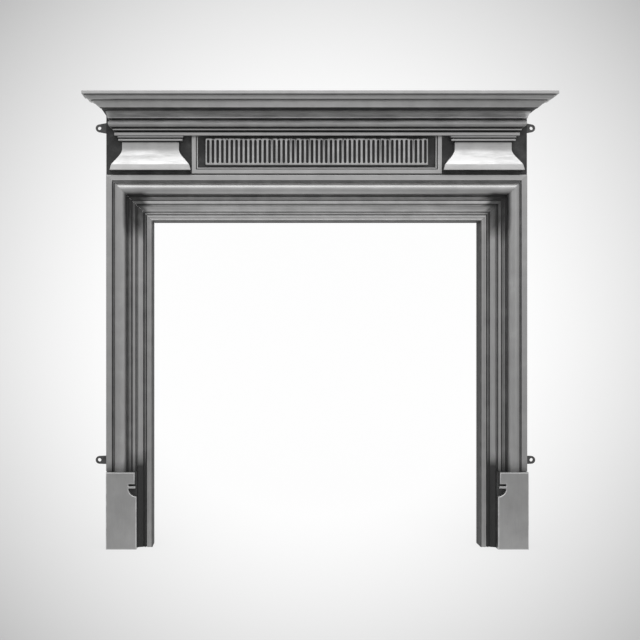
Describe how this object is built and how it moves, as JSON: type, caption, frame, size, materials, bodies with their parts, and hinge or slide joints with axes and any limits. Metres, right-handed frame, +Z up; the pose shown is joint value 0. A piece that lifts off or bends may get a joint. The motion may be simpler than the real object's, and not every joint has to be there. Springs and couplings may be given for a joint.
{
  "type": "fire surround",
  "caption": "Cast iron fire surround with moulded legs and lintel mitred round an open hearth, a fluted frieze between flared blocks, and a moulded mantel shelf.",
  "frame": {"origin": "on the floor, in the middle of the surround's width and of its depth from the wall to the shelf's front edge", "axes": "+X to the right as seen from the room, -Y out of the wall towards the room, +Z up"},
  "size_m": [1.258, 0.195, 1.2363],
  "materials": {
    "polished_iron": "polished and blackleaded, satin, darker in the recesses",
    "black_iron": "blackened, dull, as cast",
    "steel_fixings": "dull"
  },
  "bodies": {
    "root": {"mantel_shelf": "polished_iron", "frieze": "polished_iron", "fluted_panel": "polished_iron", "lintel": "polished_iron", "left_leg": "polished_iron", "right_leg": "polished_iron", "left_plinth": "polished_iron", "right_plinth": "polished_iron", "left_corner_block": "polished_iron", "right_corner_block": "polished_iron", "upper_left_lug": "black_iron", "upper_right_lug": "black_iron", "lower_left_lug": "black_iron", "lower_right_lug": "black_iron", "upper_left_lug_bolt": "steel_fixings", "upper_right_lug_bolt": "steel_fixings", "lower_left_lug_bolt": "steel_fixings", "lower_right_lug_bolt": "steel_fixings", "shelf_bolt_1": "steel_fixings", "shelf_bolt_2": "steel_fixings", "shelf_bolt_3": "steel_fixings", "shelf_bolt_4": "steel_fixings", "frieze_bolt_1": "steel_fixings", "frieze_bolt_2": "steel_fixings", "frieze_bolt_3": "steel_fixings", "frieze_bolt_4": "steel_fixings", "frieze_nut_1": "steel_fixings", "frieze_nut_2": "steel_fixings", "frieze_nut_3": "steel_fixings", "frieze_nut_4": "steel_fixings", "left_mitre_bolt_1": "steel_fixings", "left_mitre_bolt_2": "steel_fixings", "right_mitre_bolt_1": "steel_fixings", "right_mitre_bolt_2": "steel_fixings", "left_mitre_nut_1": "steel_fixings", "left_mitre_nut_2": "steel_fixings", "right_mitre_nut_1": "steel_fixings", "right_mitre_nut_2": "steel_fixings", "panel_nut_1": "steel_fixings", "panel_nut_2": "steel_fixings", "panel_nut_3": "steel_fixings", "panel_nut_4": "steel_fixings", "block_nut_1": "steel_fixings", "block_nut_2": "steel_fixings", "block_nut_3": "steel_fixings", "block_nut_4": "steel_fixings", "left_plinth_nut_1": "steel_fixings", "left_plinth_nut_2": "steel_fixings", "right_plinth_nut_1": "steel_fixings", "right_plinth_nut_2": "steel_fixings"}
  },
  "joints": []
}
